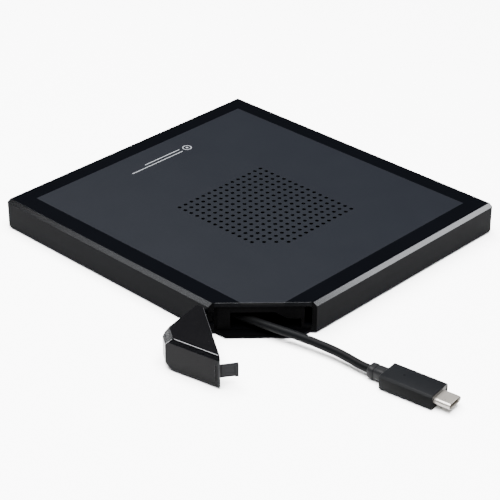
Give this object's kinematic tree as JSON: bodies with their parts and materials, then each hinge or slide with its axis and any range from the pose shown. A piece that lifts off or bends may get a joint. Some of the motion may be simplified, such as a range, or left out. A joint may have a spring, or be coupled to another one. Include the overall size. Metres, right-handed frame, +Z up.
{
  "type": "external optical drive",
  "caption": "Slim external disc drive with a perforated top, a front tray and an open corner door over its captive cable.",
  "frame": {"origin": "middle of the case's footprint on the surface it stands on", "axes": "+Z up through the top panel, -Y out of the tray side, +X to the side with the cable channel"},
  "size_m": [0.1704, 0.2246, 0.0143],
  "materials": {
    "board_parts_surface": "matte",
    "bottom_cover_surface": "satin",
    "cable_clamp_surface": "satin",
    "case_screws_surface": "zinc coated",
    "corner_door_surface": "polished black",
    "damper_bushes_surface": "matte",
    "data_ribbon_surface": "film",
    "data_socket_surface": "matte",
    "drive_cover_surface": "zinc coated",
    "drive_flex_surface": "film",
    "drive_pan_surface": "zinc coated",
    "eject_button_surface": "satin",
    "foot_ring_surface": "matte",
    "guide_rods_surface": "ground",
    "hinge_pin_surface": "ground",
    "hub_claws_surface": "moulded",
    "inner_wires_surface": "soft satin",
    "interface_board_surface": "solder mask",
    "lead_screw_surface": "ground",
    "led_light_pipe_surface": "frosted",
    "lens_holder_surface": "moulded",
    "lens_magnets_surface": "ground",
    "main_board_surface": "solder mask",
    "mech_deck_surface": "zinc coated",
    "objective_lens_surface": "clear",
    "pickup_sled_surface": "die cast",
    "plug_boot_surface": "matte",
    "plug_contacts_surface": "plated",
    "plug_overmould_surface": "satin",
    "plug_shell_surface": "satin plated",
    "rail_left_surface": "zinc coated",
    "rail_right_surface": "zinc coated",
    "side_frame_surface": "polished black",
    "sled_motor_surface": "zinc coated",
    "slider_left_surface": "zinc coated",
    "slider_right_surface": "zinc coated",
    "spindle_rotor_surface": "zinc coated",
    "spindle_shaft_surface": "ground",
    "spindle_stator_surface": "laminated and wound",
    "top_panel_surface": "fine matte",
    "top_plate_surface": "polished black",
    "tray_surface": "fine spark texture",
    "tray_bezel_surface": "satin",
    "tray_board_surface": "solder mask",
    "turntable_pad_surface": "matte",
    "usb_cable_surface": "soft satin"
  },
  "bodies": {
    "case": {"board_parts": "board_parts_surface", "bottom_cover": "bottom_cover_surface", "cable_clamp": "cable_clamp_surface", "case_screws": "case_screws_surface", "data_ribbon": "data_ribbon_surface", "data_socket": "data_socket_surface", "drive_cover": "drive_cover_surface", "drive_flex": "drive_flex_surface", "drive_pan": "drive_pan_surface", "foot_ring": "foot_ring_surface", "hinge_pin": "hinge_pin_surface", "inner_wires": "inner_wires_surface", "interface_board": "interface_board_surface", "main_board": "main_board_surface", "plug_boot": "plug_boot_surface", "plug_contacts": "plug_contacts_surface", "plug_overmould": "plug_overmould_surface", "plug_shell": "plug_shell_surface", "rail_left": "rail_left_surface", "rail_right": "rail_right_surface", "side_frame": "side_frame_surface", "top_panel": "top_panel_surface", "top_plate": "top_plate_surface", "usb_cable": "usb_cable_surface"},
    "door": {"corner_door": "corner_door_surface"},
    "tray_body": {"tray": "tray_surface", "tray_bezel": "tray_bezel_surface", "led_light_pipe": "led_light_pipe_surface", "mech_deck": "mech_deck_surface", "guide_rods": "guide_rods_surface", "sled_motor": "sled_motor_surface", "damper_bushes": "damper_bushes_surface", "spindle_stator": "spindle_stator_surface", "tray_board": "tray_board_surface"},
    "slider_left_body": {"slider_left": "slider_left_surface"},
    "slider_right_body": {"slider_right": "slider_right_surface"},
    "button_body": {"eject_button": "eject_button_surface"},
    "spindle": {"spindle_rotor": "spindle_rotor_surface", "spindle_shaft": "spindle_shaft_surface", "hub_claws": "hub_claws_surface", "turntable_pad": "turntable_pad_surface"},
    "sled": {"pickup_sled": "pickup_sled_surface", "lens_magnets": "lens_magnets_surface"},
    "lens": {"lens_holder": "lens_holder_surface", "objective_lens": "objective_lens_surface"},
    "screw": {"lead_screw": "lead_screw_surface"}
  },
  "joints": [
    {"name": "door_hinge", "type": "hinge", "parent": "case", "child": "door", "pos_m": [0.0684, 0.0445, 0], "axis": [0, 0, 1], "range_deg": [0, 79.5], "deforming": ["usb_cable"]},
    {"name": "tray_slide", "type": "slide", "parent": "case", "child": "tray_body", "axis": [0, -1, 0], "range_m": [0, 0.114], "deforming": ["drive_flex"]},
    {"name": "slider_left_slide", "type": "slide", "parent": "case", "child": "slider_left_body", "axis": [0, -1, 0], "range_m": [0, 0.057]},
    {"name": "slider_right_slide", "type": "slide", "parent": "case", "child": "slider_right_body", "axis": [0, -1, 0], "range_m": [0, 0.057]},
    {"name": "eject_button_press", "type": "slide", "parent": "tray_body", "child": "button_body", "axis": [0, 1, 0], "range_m": [0, 0.0006], "stiffness_N_per_m": 400},
    {"name": "spindle_spin", "type": "hinge", "parent": "tray_body", "child": "spindle", "pos_m": [-0.005, -0.0102, 0.007], "axis": [0, 0, 1], "continuous": true},
    {"name": "sled_slide", "type": "slide", "parent": "tray_body", "child": "sled", "axis": [-0.7071, -0.7071, 0], "range_m": [0, 0.0315]},
    {"name": "lens_focus", "type": "slide", "parent": "sled", "child": "lens", "axis": [0, 0, 1], "range_m": [-0.0003, 0.0003], "stiffness_N_per_m": 40},
    {"name": "lead_screw_turn", "type": "hinge", "parent": "tray_body", "child": "screw", "pos_m": [0.00667, -0.02611, 0.0052], "axis": [-0.7071, -0.7071, 0], "range_deg": [0, 3780]}
  ],
  "couplings": [
    {"joint": "slider_left_slide", "follows": "tray_slide", "ratio": 0.5},
    {"joint": "slider_right_slide", "follows": "tray_slide", "ratio": 0.5},
    {"joint": "lead_screw_turn", "follows": "sled_slide", "rad_per_m": 2094.4}
  ]
}
